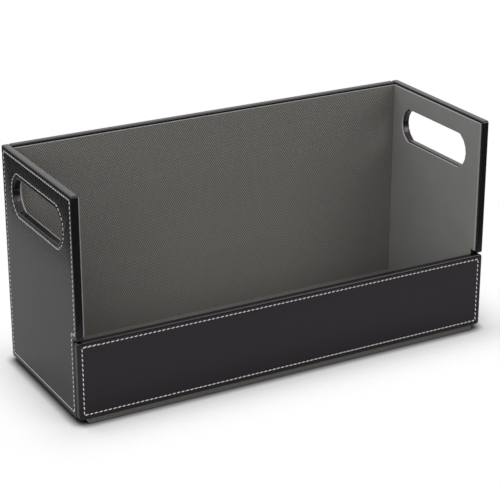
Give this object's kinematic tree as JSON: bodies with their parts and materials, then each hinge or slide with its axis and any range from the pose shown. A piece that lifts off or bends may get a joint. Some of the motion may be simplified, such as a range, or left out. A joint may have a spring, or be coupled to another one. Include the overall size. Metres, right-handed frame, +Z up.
{
  "type": "disc case storage box",
  "caption": "Open-topped black faux-leather storage box for standing disc cases, with sewn edges, a hand slot in each end wall and a hinged low front flap.",
  "frame": {"origin": "middle of the footprint, on the surface that the box stands on", "axes": "+X along the box from the left wall to the right wall, +Y from the flap to the back wall, +Z up"},
  "size_m": [0.424, 0.156, 0.212],
  "materials": {
    "fibreboard": "raw cut fibreboard",
    "faux_leather": "satin black coated skin with a faint grain",
    "smooth_lining": "smooth satin charcoal",
    "woven_cloth": "plain woven grey-brown cloth",
    "grey_card": "grey card",
    "magnet": "nickel plated bar magnet"
  },
  "bodies": {
    "box": {"left_board": "fibreboard", "right_board": "fibreboard", "back_board": "fibreboard", "floor_board": "fibreboard", "left_cover": "faux_leather", "right_cover": "faux_leather", "back_cover": "faux_leather", "left_lining": "smooth_lining", "right_lining": "smooth_lining", "back_lining": "woven_cloth", "floor_lining": "woven_cloth", "bottom_cloth": "woven_cloth", "bottom_card": "grey_card", "wall_magnets": "magnet"},
    "flap": {"flap_board": "fibreboard", "flap_cover": "faux_leather", "flap_lining": "woven_cloth", "flap_magnets": "magnet", "hinge_leaf": "woven_cloth"}
  },
  "joints": [
    {"name": "flap_hinge", "type": "hinge", "parent": "box", "child": "flap", "pos_m": [0, -0.078, 0.00385], "axis": [1, 0, 0], "range_deg": [0, 92]}
  ]
}
